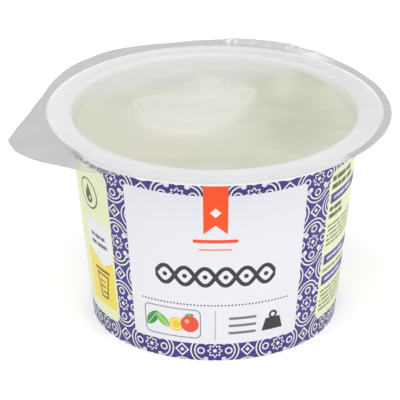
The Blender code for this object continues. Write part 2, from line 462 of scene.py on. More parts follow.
class Zone(Nodes):
    """One zone of the print, as a node group that lays ink over the ink it is given.

    Its shapes are soft masks from signed distances, in millimetres of print along and up.
    """

    def __init__(self, name):
        self.tree = bpy.data.node_groups.new(name, "ShaderNodeTree")
        for socket, kind in (("Along", "Float"), ("Up", "Float"), ("Ink", "Color")):
            self.tree.interface.new_socket(socket, in_out="INPUT", socket_type="NodeSocket" + kind)
        self.tree.interface.new_socket("Ink", in_out="OUTPUT", socket_type="NodeSocketColor")
        self.along, self.up, self.ink = self.add("NodeGroupInput").outputs[:3]

    def close(self):
        self.feed(self.add("NodeGroupOutput").inputs[0], self.ink)
        return self.tree

    def off(self, value, middle):
        return self.math("SUBTRACT", value, middle)

    def size(self, value):
        return self.math("ABSOLUTE", value)

    def mask(self, distance):
        """1 where the signed distance is negative."""
        return self.math("MULTIPLY_ADD", distance, -1.0 / EDGE, 0.5, clamp=True)

    def both(self, first, second):
        return self.math("MAXIMUM", first, second)

    def either(self, first, second):
        return self.math("MINIMUM", first, second)

    def without(self, first, second):
        return self.math("MAXIMUM", first, self.math("MULTIPLY", second, -1.0))

    def stroke(self, distance, half):
        """Distance to a line of a half width drawn where the distance is 0."""
        return self.math("SUBTRACT", self.size(distance), half)

    def box(self, x, z, half_x, half_z, corner=0.0):
        """Rectangle with round corners."""
        dx = self.math("SUBTRACT", self.size(self.off(self.along, x)), half_x - corner)
        dz = self.math("SUBTRACT", self.size(self.off(self.up, z)), half_z - corner)
        if corner == 0.0:
            return self.both(dx, dz)
        outside = self.hypot(self.math("MAXIMUM", dx, 0.0), self.math("MAXIMUM", dz, 0.0))
        inside = self.math("MINIMUM", self.both(dx, dz), 0.0)
        return self.math("SUBTRACT", self.math("ADD", outside, inside), corner)

    def disc(self, x, z, radius):
        return self.math("SUBTRACT", self.hypot(self.off(self.along, x), self.off(self.up, z)), radius)

    def lay(self, distance, colour):
        """Print a colour inside a shape, over what is there."""
        self.ink = self.mix(self.mask(distance), self.ink, colour)


def lay_pattern(p, label):
    """Half-drop lattice of barbed quatrefoils, each with a rosette and four petals, in white line.

    The position is folded into a quarter tile and then on to the nearer of the two medallions.
    A barbed quatrefoil is four discs and a square together, a rosette is a circle whose radius
    swings eight times, and a lozenge fills each gap. Lines run where a distance passes 0.
    """
    half = label.tile / MM / 2.0
    unit = half / 10.0
    u = p.math("PINGPONG", p.along, half)
    v = p.math("PINGPONG", p.off(p.up, PATTERN_FOOT), half)
    far = p.math("MULTIPLY", p.math("GREATER_THAN", p.math("ADD", u, v), half), half)
    s = p.size(p.math("SUBTRACT", u, far))
    t = p.size(p.math("SUBTRACT", v, far))
    reach, lobe_r, square = 3.1 * unit, 3.0 * unit, 3.75 * unit
    foil = p.either(p.hypot(p.off(s, reach), t), p.hypot(s, p.off(t, reach)))
    foil = p.either(p.math("SUBTRACT", foil, lobe_r), p.math("SUBTRACT", p.both(s, t), square))
    middle = p.hypot(s, t)
    swing = p.math("COSINE", p.math("MULTIPLY", p.math("ARCTAN2", s, t), 8.0))
    rosette = p.math("SUBTRACT", middle, p.math("MULTIPLY_ADD", swing, 0.34 * unit, 1.75 * unit))
    petal = p.math("SUBTRACT", p.hypot(p.off(s, 2.75 * unit), p.off(t, 2.75 * unit)), 0.75 * unit)
    tip = p.either(p.hypot(p.off(s, 4.2 * unit), t), p.hypot(s, p.off(t, 4.2 * unit)))
    tip = p.math("SUBTRACT", tip, 0.95 * unit)
    lozenge = p.either(p.math("ADD", p.math("SUBTRACT", half, u), v), p.math("ADD", p.math("SUBTRACT", half, v), u))
    lozenge = p.math("MULTIPLY_ADD", lozenge, 0.7071, -1.35 * unit)
    lines = p.either(p.size(foil), p.size(p.math("SUBTRACT", foil, 1.15 * unit)))
    lines = p.either(lines, p.either(p.size(rosette), p.size(lozenge)))
    lines = p.either(lines, p.size(tip))
    dots = p.either(p.math("SUBTRACT", middle, 0.6 * unit), p.math("ADD", lozenge, 0.85 * unit))
    drawn = p.either(p.math("SUBTRACT", lines, 0.24), p.either(dots, petal))
    p.ink = p.mix(p.mask(p.math("SUBTRACT", drawn, 0.22)), tuple(label.ground), srgb(44, 40, 66))
    p.lay(drawn, srgb(232, 230, 244))


GREY = srgb(58, 58, 62)
PALE_GREY = srgb(150, 152, 160)
LEAF = srgb(64, 150, 82)
TOMATO = srgb(232, 84, 60)


def lay_front(p, label):
    """Front panel: ribbon from the top edge, two bars, a row of dots, a box, a rule and bars."""
    ribbon = tuple(label.ribbon)
    p.lay(p.box(0.1, 29.7, 25.95, 24.0, 1.3), tuple(label.panel))
    notch = p.math("MULTIPLY_ADD", p.size(p.off(p.along, 0.1)), -0.85, 44.4)
    tail = p.both(p.math("SUBTRACT", p.size(p.off(p.along, 0.1)), 3.3), p.math("SUBTRACT", notch, p.up))
    p.lay(tail, ribbon)
    lozenge = p.math("ADD", p.size(p.off(p.along, 0.1)), p.size(p.off(p.up, 48.4)))
    p.lay(p.math("SUBTRACT", lozenge, 1.5), srgb(246, 240, 238))
    p.lay(p.box(0.1, 39.3, 6.2, 0.55, 0.5), ribbon)
    p.lay(p.box(0.1, 36.6, 4.6, 0.28, 0.25), srgb(244, 150, 122))
    dot = p.math("PINGPONG", p.along, 0.5)
    row = p.math("SUBTRACT", p.hypot(dot, p.off(p.up, 18.4)), 0.27)
    p.lay(p.both(row, p.box(0.1, 18.4, 22.3, 0.5)), srgb(70, 72, 100))
    p.lay(p.stroke(p.box(-12.9, 12.1, 8.6, 4.6, 1.6), 0.17), srgb(132, 134, 136))
    p.lay(p.box(0.1, 11.9, 0.11, 4.9), PALE_GREY)
    for height in (14.0, 11.6, 9.2):
        p.lay(p.box(8.2, height, 4.2, 0.42, 0.4), srgb(120, 120, 128))


def lay_motifs(p, label):
    """What the front panel shows in dark and bright ink: the twist, the sprig and the weight."""
    lay_twist(p)
    lay_sprig(p, -12.9, 12.0)
    lay_weight(p, 17.6, 11.4)


def lay_twist(p):
    """Two waves out of step that cross three times over, with a dot in each eye."""
    half_width, rise, waves = 17.4, 2.75, 3
    rate = math.pi * waves / half_width
    phase = p.math("MULTIPLY", p.off(p.along, 0.1 - half_width), rate)
    swing = p.math("MULTIPLY", p.math("SINE", phase), rise)
    steep = p.math("MULTIPLY", p.math("COSINE", phase), rise * rate)
    spread = p.math("SQRT", p.math("MULTIPLY_ADD", steep, steep, 1.0))
    height = p.off(p.up, 27.7)
    first = p.math("DIVIDE", p.size(p.math("SUBTRACT", height, swing)), spread)
    second = p.math("DIVIDE", p.size(p.math("ADD", height, swing)), spread)
    band = p.math("SUBTRACT", p.either(first, second), 0.62)
    ends = p.math("SUBTRACT", p.size(p.off(p.along, 0.1)), half_width)
    eye = p.math("PINGPONG", p.off(p.along, 0.1 - half_width + half_width / waves / 2.0), half_width / waves / 2.0)
    eye = p.math("SUBTRACT", p.hypot(eye, height), 0.7)
    p.lay(p.both(p.either(band, eye), ends), GREY)


def lay_leaf(p, x, z, lean, half_length, half_width, tone):
    """Pointed leaf: what two discs share, with a vein along it."""
    radius = (half_length ** 2 + half_width ** 2) / (2.0 * half_width)
    out = radius - half_width
    sine, cosine = math.sin(math.radians(lean)), math.cos(math.radians(lean))
    one = p.hypot(p.off(p.along, x - out * sine), p.off(p.up, z + out * cosine))
    two = p.hypot(p.off(p.along, x + out * sine), p.off(p.up, z - out * cosine))
    leaf = p.math("SUBTRACT", p.both(one, two), radius)
    p.lay(leaf, tone)
    vein = p.math("MULTIPLY", p.math("SUBTRACT", one, two), 0.5)
    p.lay(p.both(p.stroke(vein, 0.09), p.math("ADD", leaf, 0.4)), srgb(222, 236, 206))


def lay_sprig(p, x, z):
    """Two pairs of leaves, a halved yellow fruit and a round red one."""
    lay_leaf(p, x - 6.2, z + 0.3, 52.0, 3.2, 1.5, LEAF)
    lay_leaf(p, x - 2.9, z + 0.3, -46.0, 3.0, 1.35, srgb(132, 196, 84))
    p.lay(p.disc(x + 1.3, z - 0.5, 2.3), srgb(242, 206, 50))
    p.lay(p.stroke(p.disc(x + 1.3, z - 0.5, 1.55), 0.14), srgb(252, 240, 190))
    p.lay(p.disc(x + 5.4, z, 2.75), TOMATO)
    p.lay(p.disc(x + 4.6, z + 0.8, 0.7), srgb(248, 176, 120))
    lay_leaf(p, x + 5.4, z + 2.9, 8.0, 1.4, 0.5, LEAF)


def lay_weight(p, x, z):
    """Kitchen weight: a block wider at its foot, with a ring on top."""
    slope = p.math("MULTIPLY_ADD", p.off(p.up, z), 0.28, -2.7)
    block = p.math("ADD", p.size(p.off(p.along, x)), slope)
    block = p.both(block, p.math("SUBTRACT", p.size(p.off(p.up, z - 0.6)), 2.0))
    p.lay(block, GREY)
    p.lay(p.stroke(p.disc(x, z + 2.3, 1.0), 0.35), GREY)


def dashes(p, distance, shift):
    """Cuts a bar into short uneven dashes, by two waves out of step."""
    first = p.math("SINE", p.math("MULTIPLY_ADD", p.along, 2.3, shift))
    second = p.math("SINE", p.math("MULTIPLY_ADD", p.along, 3.7, p.math("MULTIPLY", shift, 2.0)))
    gap = p.math("MULTIPLY_ADD", p.math("ADD", first, second), 0.3, -0.42)
    return p.both(distance, gap)


def lay_rows(p, left, width, foot, rows, pitch, half_thick, tone):
    """Rows of dashes a pitch apart, whose far ends are uneven."""
    height = p.off(p.up, foot - pitch / 2.0)
    row = p.math("FLOOR", p.math("DIVIDE", height, pitch))
    level = p.math("SUBTRACT", p.math("MULTIPLY_ADD", row, -pitch, height), pitch / 2.0)
    ragged = p.math("MULTIPLY", p.size(p.math("SINE", p.math("MULTIPLY", row, 2.6))), 0.25 * width)
    ends = p.both(p.math("SUBTRACT", left, p.along), p.math("ADD", p.off(p.along, left + width), ragged))
    block = p.math("SUBTRACT", p.size(p.off(height, rows * pitch / 2.0)), rows * pitch / 2.0)
    bar = p.both(p.math("SUBTRACT", p.size(level), half_thick), p.both(ends, block))
    p.lay(dashes(p, bar, p.math("MULTIPLY", row, 1.9)), tone)


def lay_left(p, label):
    """Left panel: a ringed drop, a white tag and a yellow block with a cup."""
    p.lay(p.box(-58.3, 29.8, 26.0, 24.1, 3.0), tuple(label.side))
    ink = srgb(70, 74, 50)
    p.lay(p.stroke(p.disc(-42.2, 44.2, 4.5), 0.26), ink)
    drop = p.math("MULTIPLY_ADD", p.off(p.up, 44.4), 0.5, -1.5)
    drop = p.both(p.math("ADD", p.size(p.off(p.along, -42.2)), drop), p.math("SUBTRACT", 43.4, p.up))
    p.lay(p.either(drop, p.disc(-42.2, 43.2, 1.95)), ink)
    p.lay(p.disc(-41.6, 43.0, 0.6), tuple(label.side))
    p.lay(p.box(-40.2, 17.6, 7.1, 8.2, 0.8), srgb(246, 220, 92))
    point = p.math("MULTIPLY_ADD", p.size(p.off(p.along, -38.0)), 0.55, p.math("SUBTRACT", 22.4, p.up))
    p.lay(p.both(p.box(-39.3, 29.0, 6.2, 7.2, 1.4), point), srgb(238, 238, 242))
    lay_rows(p, -43.4, 8.6, 29.0, 2, 2.4, 0.6, srgb(112, 110, 120))
    cup = p.math("ADD", p.size(p.off(p.along, -39.2)), p.math("MULTIPLY_ADD", p.off(p.up, 16.2), -0.18, -2.4))
    cup = p.both(cup, p.math("SUBTRACT", p.size(p.off(p.up, 15.6)), 3.6))
    brown = srgb(128, 100, 34)
    p.lay(p.stroke(cup, 0.35), brown)
    p.lay(p.box(-39.2, 20.7, 4.0, 0.45, 0.4), brown)
    lay_rows(p, -41.0, 3.6, 13.6, 3, 1.7, 0.3, brown)


def lay_right(p, label):
    """Right panel: purple headings over rows of broken rules."""
    p.lay(p.box(61.2, 29.6, 26.0, 23.9, 3.0), tuple(label.side))
    left = 36.3
    dark, light = srgb(92, 96, 70), srgb(150, 156, 120)
    blocks = ((12.5, 48.3, 2, 2.6, 0.8, dark), (7.6, 38.9, 2, 2.3, 0.7, dark),
              (32.0, 29.8, 5, 1.5, 0.42, light), (15.0, 21.4, 1, 1.5, 0.5, light),
              (32.0, 8.6, 5, 1.5, 0.42, light))
    for width, foot, rows, pitch, half_thick, tone in blocks:
        lay_rows(p, left, width, foot, rows, pitch, half_thick, tone)
    for height in (44.6, 24.9, 18.2):
        p.lay(p.box(left + 15.0, height, 15.0, 1.6, 0.3), tuple(label.ground))
        p.lay(dashes(p, p.box(left + 7.2, height, 5.6, 0.5, 0.3), height), srgb(214, 208, 240))


def label_material(label):
    """Satin print: the pattern, then the three panels and what is on them, zone over zone."""
    n = Nodes("label print")
    vector, east, north, up = n.place()
    turned = n.math("ARCTAN2", east, n.math("MULTIPLY", north, -1.0))
    along = n.math("MULTIPLY", turned, math.degrees(1.0) * PRINT_SCALE)
    ink = tuple(label.ground)
    for lay in (lay_pattern, lay_left, lay_right, lay_front, lay_motifs):
        zone = Zone(lay.__name__)
        lay(zone, label)
        node = n.add("ShaderNodeGroup", node_tree=zone.close())
        for socket, value in zip(node.inputs, (along, up, ink)):
            n.feed(socket, value)
        ink = node.outputs[0]
    grain = n.noise(vector, 1.6, 2.0)
    shader = n.plastic(ink, n.blend(grain, 0.34, 0.46), n.relief(grain, 0.06, 0.04), Specular_IOR_Level=0.3)
    return n.finish(shader)


class OBJECT_OT_burrata_label(bpy.types.Operator):
    """Wrap the printed sleeve round the wall: a straight taper with a thin wall"""
    bl_idname = "object.burrata_label"
    bl_label = "Label"

    def execute(self, context):
        settings = context.scene.burrata
        low, high = SLEEVE_FOOT, LABEL_HIGH[2]
        heights = np.linspace(high, low, 30)
        skin = np.stack([side_radius(heights), heights], axis=-1)
        back = np.stack([side_radius(heights[::-1]) - LABEL_T, heights[::-1]], axis=-1)
        rings = revolve(np.concatenate([skin, back]), settings.pot.steps)
        mesh = ring_loop_mesh("print_sleeve", rings[:, ::-1])
        add_piece("print_sleeve", mesh, label_material(settings.label), "label")
        return {"FINISHED"}


# ---------------------------------------------------------------- cheese

BALL_AT = (-4.0, 2.6)
BALL_MID = 29.6
BALL_RISE = 30.6
BALL_DROP = 30.0
SAG_X = -0.15
KNOT_LEAN = math.radians(35.0)
KNOT_HEADING = math.radians(64.0)
TUCKS = ((-1.6, 23.5, 6.2, 11.0, 96.0, 60.4), (6.3, 18.4, 5.2, 9.4, 72.0, 59.9))
TUCK_DEPTH = 2.6
TUCK_BLEND = 1.0
CROWN = 59.4
CROWN_SOFTNESS = 0.8
FLAP_TOP = 59.2
FLAP_AT = (-6.6, 13.0)
FLAP_HALF = (15.4, 14.8, 8.0)   # half-axes: sideways, to the near edge and to the far edge


def knot_to_world(x, y, z):
    """Turn directions from the knot's frame: lean about Y, then heading about Z."""
    cos_l, sin_l = math.cos(KNOT_LEAN), math.sin(KNOT_LEAN)
    cos_h, sin_h = math.cos(KNOT_HEADING), math.sin(KNOT_HEADING)
    leaned = x * cos_l + z * sin_l
    return leaned * cos_h - y * sin_h, leaned * sin_h + y * cos_h, z * cos_l - x * sin_l


def cheese_rings(cheese, rows, columns):
    """Surface of the cheese as rings about its knot.

    The radius is an ellipsoid's, plus pleats that run out from the knot as sharp-bottomed
    furrows and fade, a neck round the knot, and slow unevenness. The upper half sags sideways,
    the floor flattens the bottom and the crown is levelled by a soft minimum. The flap that
    runs over the crown and the knot's two rounded ends are laid on by soft maximums.
    """
    ball_r = cheese.radius / MM
    off = (math.pi - 0.012) * np.linspace(0.0, 1.0, rows)[:, None] ** 1.35 + 0.006
    turn = np.linspace(0.0, math.tau, columns, endpoint=False)[None, :]
    kx, ky, kz = np.sin(off) * np.cos(turn), np.sin(off) * np.sin(turn), np.cos(off) + 0.0 * turn
    wx, wy, wz = knot_to_world(kx, ky, kz)
    drop = np.where(wz > 0.0, BALL_RISE, BALL_DROP)
    radius = 1.0 / np.sqrt((wx ** 2 + wy ** 2) / ball_r ** 2 + (wz / drop) ** 2)
    twist = turn + 0.5 * off + 0.12 * np.sin(3.0 * turn + 1.0)
    furrow = 1.0 - np.abs(np.sin(cheese.pleats / 2.0 * twist)) ** 0.6
    uneven = 0.65 + 0.35 * np.sin(2.0 * turn + 0.7) * np.sin(5.0 * turn + 2.1)
    radius -= 0.9 * furrow * uneven * bump(off, 0.42, 0.27)
    upper = kz > 0.0
    radius -= np.where(upper, 1.1 * bump(off, 0.34, 0.13), 0.0)
    radius += 0.22 * np.sin(4.0 * wx + 3.0 * wy + 1.3) * np.sin(5.0 * wy - 2.0 * wz)
    radius += 0.10 * np.sin(11.0 * wx - 4.0 * wz + 0.4) * np.sin(9.0 * wy + 3.0 * wx)
    x, y, z = wx * radius, wy * radius, wz * radius
    x = x + SAG_X * np.maximum(z, 0.0) + BALL_AT[0]
    y = y + BALL_AT[1]
    z = z + BALL_MID
    z = CROWN - CROWN_SOFTNESS * np.logaddexp(0.0, (CROWN - z) / CROWN_SOFTNESS)
    lifted = TUCK_BLEND * np.logaddexp(z / TUCK_BLEND, flap_height(x, y) / TUCK_BLEND)
    for tuck in TUCKS:
        lifted = TUCK_BLEND * np.logaddexp(lifted / TUCK_BLEND, tuck_height(x, y, *tuck) / TUCK_BLEND)
    z = np.where(z > 44.0, lifted, z)
    z = np.maximum(z, WHEY_LOW[2])
    return np.stack([x, y, z], axis=-1)


def tuck_height(x, y, middle_x, middle_y, half_width, half_length, heading, top):
    """Top of one rounded end of the knot's cloth: a smooth cap that falls away all round."""
    turn = math.radians(heading)
    along = (x - middle_x) * math.cos(turn) + (y - middle_y) * math.sin(turn)
    across = (y - middle_y) * math.cos(turn) - (x - middle_x) * math.sin(turn)
    spread = (along / half_length) ** 2 + (across / half_width) ** 2
    wrinkle = 0.05 * np.sin(across * 1.2 + 0.25 * along) * (1.0 - np.clip(spread, 0.0, 1.0))
    return top + wrinkle - TUCK_DEPTH * spread ** 1.6


def flap_height(x, y):
    """Top of the flap that runs from the knot over the crown: level inside an egg-shaped outline.

    The near edge rolls down over about a millimetre, and the far side dips slowly into the whey.
    """
    half_x, half_near, half_far = FLAP_HALF
    half_y = np.where(y < FLAP_AT[1], half_near, half_far)
    out = np.hypot((x - FLAP_AT[0]) / half_x, (y - FLAP_AT[1]) / half_y)
    inside = (1.0 - out * (1.0 + 0.035 * np.sin(0.42 * x - 0.9))) * half_x
    slow = smooth(6.0, 20.0, y)
    roll = 1.0 * np.exp(-np.maximum(inside, 0.0) / (1.5 + 1.5 * slow))
    roll += (1.6 - 0.8 * slow) * np.maximum(-inside, 0.0)
    swell = 0.20 * np.sin(0.45 * x + 0.3 * y) + 0.12 * np.sin(0.7 * y - 0.3 * x + 1.0)
    return FLAP_TOP + swell - roll


def cheese_material(cheese):
    """Moist fresh cheese: milky, a little light passing through, fine skin and faint veins."""
    n = Nodes("fresh cheese")
    vector, _, _, _ = n.place()
    cloud = n.noise(vector, 0.11, 3.0)
    skin = n.noise(vector, 0.9, 4.0)
    warm = tuple(cheese.colour)
    cool = (warm[0] * 0.95, warm[1] * 0.97, warm[2] * 0.97)
    tint = n.mix(n.ramp(cloud, 0.3, 0.7), warm, cool)
    shader = n.plastic(tint, n.blend(skin, 0.26, 0.45), n.relief(skin, 0.25, 0.25),
                       Subsurface_Weight=0.3, Subsurface_Radius=(0.0040, 0.0034, 0.0026))
    return n.finish(shader)


class OBJECT_OT_burrata_cheese(bpy.types.Operator):
    """Shape the pleated ball with its knot and fold"""
    bl_idname = "object.burrata_cheese"
    bl_label = "Cheese"

    def execute(self, context):
        cheese = context.scene.burrata.cheese
        mesh = ring_mesh("burrata_ball", cheese_rings(cheese, 240, 360)[:, ::-1])
        add_piece("burrata_ball", mesh, cheese_material(cheese), "burrata")
        return {"FINISHED"}


# ---------------------------------------------------------------- whey

CELL = 0.4                      # grid step of the cheese's height map, in millimetres
MAP_HALF = 42.0


def cheese_heights(cheese):
    """Height of the cheese's top on a square grid: the highest surface point in each cell, and 0 in the cells without
    one."""
    points = cheese_rings(cheese, 520, 1200)
    points = points[points[..., 2] > 25.0]
    count = int(2.0 * MAP_HALF / CELL)
    column = ((points[:, 0] + MAP_HALF) / CELL).astype(int)
    row = ((points[:, 1] + MAP_HALF) / CELL).astype(int)
    heights = np.full((count, count), -1.0)
    np.maximum.at(heights, (row, column), points[:, 2])
    return np.where(heights < 0.0, 0.0, heights)


def sample(grid, x, y):
    """Value of the grid at points, blended between the four nearest cells."""
    gx = np.clip((x + MAP_HALF) / CELL - 0.5, 0.0, grid.shape[1] - 1.001)
    gy = np.clip((y + MAP_HALF) / CELL - 0.5, 0.0, grid.shape[0] - 1.001)
    ix, iy = gx.astype(int), gy.astype(int)
    fx, fy = gx - ix, gy - iy
    low = grid[iy, ix] * (1.0 - fx) + grid[iy, ix + 1] * fx
    high = grid[iy + 1, ix] * (1.0 - fx) + grid[iy + 1, ix + 1] * fx
    return low * (1.0 - fy) + high * fy


def soften(grid, times):
    """Blur by a three-cell average along each side, several times over."""
    for _ in range(times):
        padded = np.pad(grid, 1, mode="edge")
        grid = (padded[1:-1, :-2] + padded[1:-1, 1:-1] + padded[1:-1, 2:]) / 3.0
        padded = np.pad(grid, 1, mode="edge")
        grid = (padded[:-2, 1:-1] + padded[1:-1, 1:-1] + padded[2:, 1:-1]) / 3.0
    return grid


def whey_level(x, y):
    """Height of the whey: level, with the part at the back right drawn up against the film."""
    return WHEY_HIGH[2] + 1.6 * patch(x, y, 24.0, 29.0, 9.0, 9.0) - 1.3 * patch(x, y, -27.0, 27.0, 24.0, 18.0)


def patch(x, y, middle_x, middle_y, half_x, half_y):
    """Soft-edged ellipse of height 1."""
    return np.exp(-(((x - middle_x) / half_x) ** 2 + ((y - middle_y) / half_y) ** 2) ** 1.5)


# Soft patches of whey tone: middle, half-widths and strength. The deep patches are partly deeper whey and partly
# painted shade beside the cheese, and the grey ones are painted shade behind it.
CLOUDS = {
    "deep_and_shade": ((24.0, -4.0, 12.0, 16.0, 0.85), (14.0, 24.0, 5.0, 11.0, 0.6), (28.0, 29.0, 6.0, 9.0, 0.8),
             (-28.0, 18.0, 6.0, 6.5, 0.4), (4.0, -29.0, 26.0, 8.0, 0.3), (34.0, 6.0, 6.0, 16.0, 0.25), (12.0, 5.0, 6.0, 11.0, 0.4),
             (24.0, 14.0, 12.0, 8.0, 0.55)),
    "warm": ((-15.0, -18.0, 14.0, 7.0, 1.0), (-2.0, -14.0, 9.0, 5.0, 0.4)),
    "grey": ((-13.0, 32.0, 17.0, 6.0, 1.0), (3.0, 35.0, 16.0, 6.0, 0.7), (-30.0, 26.0, 7.0, 8.0, 0.4)),
    "milk": ((-9.0, 6.0, 14.0, 10.0, 1.0), (-9.0, -5.0, 14.0, 8.0, 0.8), (-1.0, 18.5, 10.5, 13.0, 1.0),
             (20.0, 22.0, 3.0, 9.0, 0.25)),
}
MENISCUS = 0.7                  # climb of the whey on the cheese, in millimetres
FADE = 7.0                      # width of the paler whey along the back of the wall, in millimetres


def cloud(x, y, name):
    """How much of one tone lies at each point: the strongest of its patches."""
    return np.max([strength * patch(x, y, *place) for *place, strength in CLOUDS[name]], axis=0)


def wall_fade(x, y, edge):
    """Paler whey against the wall's back half, where the white wall lies just behind it."""
    near = 1.0 - smooth(0.3, FADE, edge - np.hypot(x, y))
    return 0.4 * near * smooth(2.0, 22.0, y) * (1.0 - smooth(4.0, 20.0, x))


def whey_rings(pot, columns):
    """Rings of the pool: the free surface out to the wall with a small meniscus, the side just
    inside the wall's skin, and the floor."""
    wall = pot.wall / MM
    turn = np.linspace(0.0, math.tau, columns, endpoint=False)[None, :]
    radii = np.linspace(0.3, bore_radius(WHEY_HIGH[2], wall) - 0.35, 150)
    edge = bore_radius(WHEY_HIGH[2], wall) + 0.12 - np.array([0.30, 0.16, 0.06, 0.0])
    radii = np.concatenate([radii, edge])[:, None]
    x, y = radii * np.cos(turn), radii * np.sin(turn)
    climb = 0.35 * np.exp((radii - edge[-1]) / 0.5)
    top = np.stack([x, y, whey_level(x, y) + climb], axis=-1)
    heights = np.linspace(0.97, 0.0, 24)
    levels = FLOOR_TOP - 0.05 + heights * (WHEY_HIGH[2] - 2.0 - FLOOR_TOP)
    radius = bore_radius(levels, wall) + 0.12
    corner = np.clip(1.0 - (levels - FLOOR_TOP) / 2.2, 0.0, 1.0)
    radius = radius - 2.2 * (1.0 - np.sqrt(1.0 - corner ** 2))
    side = revolve(np.stack([radius, levels], axis=-1), columns)
    floor = revolve(np.array([[radius[-1] * 0.5, levels[-1]], [0.3, levels[-1]]]), columns)
    return np.concatenate([top, side, floor]), len(top)


def whey_material(whey):
    """Cloudy whey: milky over the cheese, deeper away from it, darker beside and behind the cheese in painted shade,
    paler along the back wall.
    """
    n = Nodes("cloudy whey")
    vector, _, _, _ = n.place()
    depth = n.attribute("depth")
    drift = n.noise(vector, 0.11, 2.0, (0.85, 1.35, 1.0))
    stir = n.math("SUBTRACT", drift, 0.5)
    # The deep tone is partly deeper whey and partly painted shade; the grey tone is painted shade behind the cheese.
    deep_and_shade = n.math("MULTIPLY_ADD", stir, 0.4, stirred(n, "deep_and_shade", stir, 1.3), clamp=True)
    body = n.mix(deep_and_shade, tuple(whey.colour), tuple(whey.deep_and_shade))
    body = n.mix(stirred(n, "warm", stir, 1.5), body, tuple(whey.warm))
    body = n.mix(stirred(n, "grey", stir, 1.8), body, tuple(whey.grey))
    body = n.mix(stirred(n, "fade", stir, 0.5), body, tuple(whey.pale))
    over = n.math("SUBTRACT", 1.0, n.ramp(depth, 0.2, whey.clear_depth / MM))
    over = n.math("MAXIMUM", over, stirred(n, "milk", stir, 1.8))
    shown = n.mix(over, body, tuple(whey.milk))
    solid = n.plastic(shown, 0.28, n.relief(drift, 0.1, 0.3))
    return n.finish(solid)


def stirred(n, name, stir, share):
    """A stored tone whose edge the noise has stirred."""
    tone = n.attribute(name)
    edge = n.math("MULTIPLY", n.math("MULTIPLY", tone, n.math("SUBTRACT", 1.0, tone)), 4.0 * share)
    return n.math("MULTIPLY_ADD", edge, stir, tone, clamp=True)


class OBJECT_OT_burrata_whey(bpy.types.Operator):
    """Pour the whey up to its level, and mark how deep the cheese lies under it"""
    bl_idname = "object.burrata_whey"
    bl_label = "Whey"

    def execute(self, context):
        settings = context.scene.burrata
        rings, top_rows = whey_rings(settings.pot, 320)
        heights = cheese_heights(settings.cheese)
        shore = soften((heights > WHEY_HIGH[2]).astype(float), 6)
        heights = soften(heights, 2)
        depth = np.full(rings.shape[:2], 60.0)
        top = rings[:top_rows]
        top[..., 2] += MENISCUS * sample(shore, top[..., 0], top[..., 1])
        depth[:top_rows] = top[..., 2] - sample(heights, top[..., 0], top[..., 1])
        mesh = ring_mesh("whey_pool", rings[:, ::-1])
        store(mesh, "depth", depth[:, ::-1])
        x, y = rings[:, ::-1, 0], rings[:, ::-1, 1]
        for name in CLOUDS:
            store(mesh, name, cloud(x, y, name))
        store(mesh, "fade", wall_fade(x, y, bore_radius(WHEY_HIGH[2], settings.pot.wall / MM)))
        add_piece("whey_pool", mesh, whey_material(settings.whey), "whey")
        return {"FINISHED"}


# ---------------------------------------------------------------- film

FILM_SHEET = 0.08
TAB_TIP = (-57.4, -21.5)
TAB_HEEL = (-54.8, -29.3)
TAB_BELLY = (-42.0, -42.0)
TAB_FOOT = -115.0
TAB_ROOT = 165.0
CURL_FROM = 47.9
CURLS = ((70.0, 25.0, 1.6), (128.0, 17.0, 1.45), (150.0, 14.0, 1.15), (105.0, 16.0, 0.1))
# Ridges round the free edge: angle, half-width and strength. The strength lifts each ridge and also sets its painted
# white highlight.
CREASE_GLINTS = ((84.5, 1.0, 1.0), (82.2, 0.5, 0.8), (76.6, 0.9, 0.5), (71.0, 0.6, 0.3), (63.0, 1.1, 0.9), (59.5, 0.5, 0.6),
           (53.0, 1.4, 0.9), (49.5, 0.6, 0.6), (46.0, 0.9, 0.7), (97.0, 0.5, 0.4), (110.0, 0.6, 0.3))


def curve_through(start, pull, stop, count):
    """Quadratic curve from start to stop, drawn towards pull, without its end point."""
    t = np.linspace(0.0, 1.0, count, endpoint=False)[:, None]
    start, pull, stop = np.array(start), np.array(pull), np.array(stop)
    return start * (1 - t) ** 2 + pull * 2 * t * (1 - t) + stop * t ** 2


def film_outline(radius):
    """Edge of the lid: a round, a straight run to the tab's blunt tip, and the bulging way back."""
    angle = np.radians(np.linspace(TAB_FOOT, TAB_ROOT, 320))
    round_edge = radius * np.stack([np.cos(angle), np.sin(angle)], axis=-1)
    tip, heel = np.array(TAB_TIP), np.array(TAB_HEEL)
    to_tip = (tip - round_edge[-1]) / np.linalg.norm(tip - round_edge[-1])
    to_heel = (heel - tip) / np.linalg.norm(heel - tip)
    away = (np.array(TAB_BELLY) - heel) / np.linalg.norm(np.array(TAB_BELLY) - heel)
    ease = 1.3
    return np.concatenate([
        round_edge[:-1],
        line(round_edge[-1], tip - ease * to_tip, 56),
        curve_through(tip - ease * to_tip, tip, tip + ease * to_heel, 8),
        line(tip + ease * to_heel, heel - ease * to_heel, 8),
        curve_through(heel - ease * to_heel, heel, heel + ease * away, 8),
        curve_through(heel + ease * away, TAB_BELLY, round_edge[0], 56),
    ])


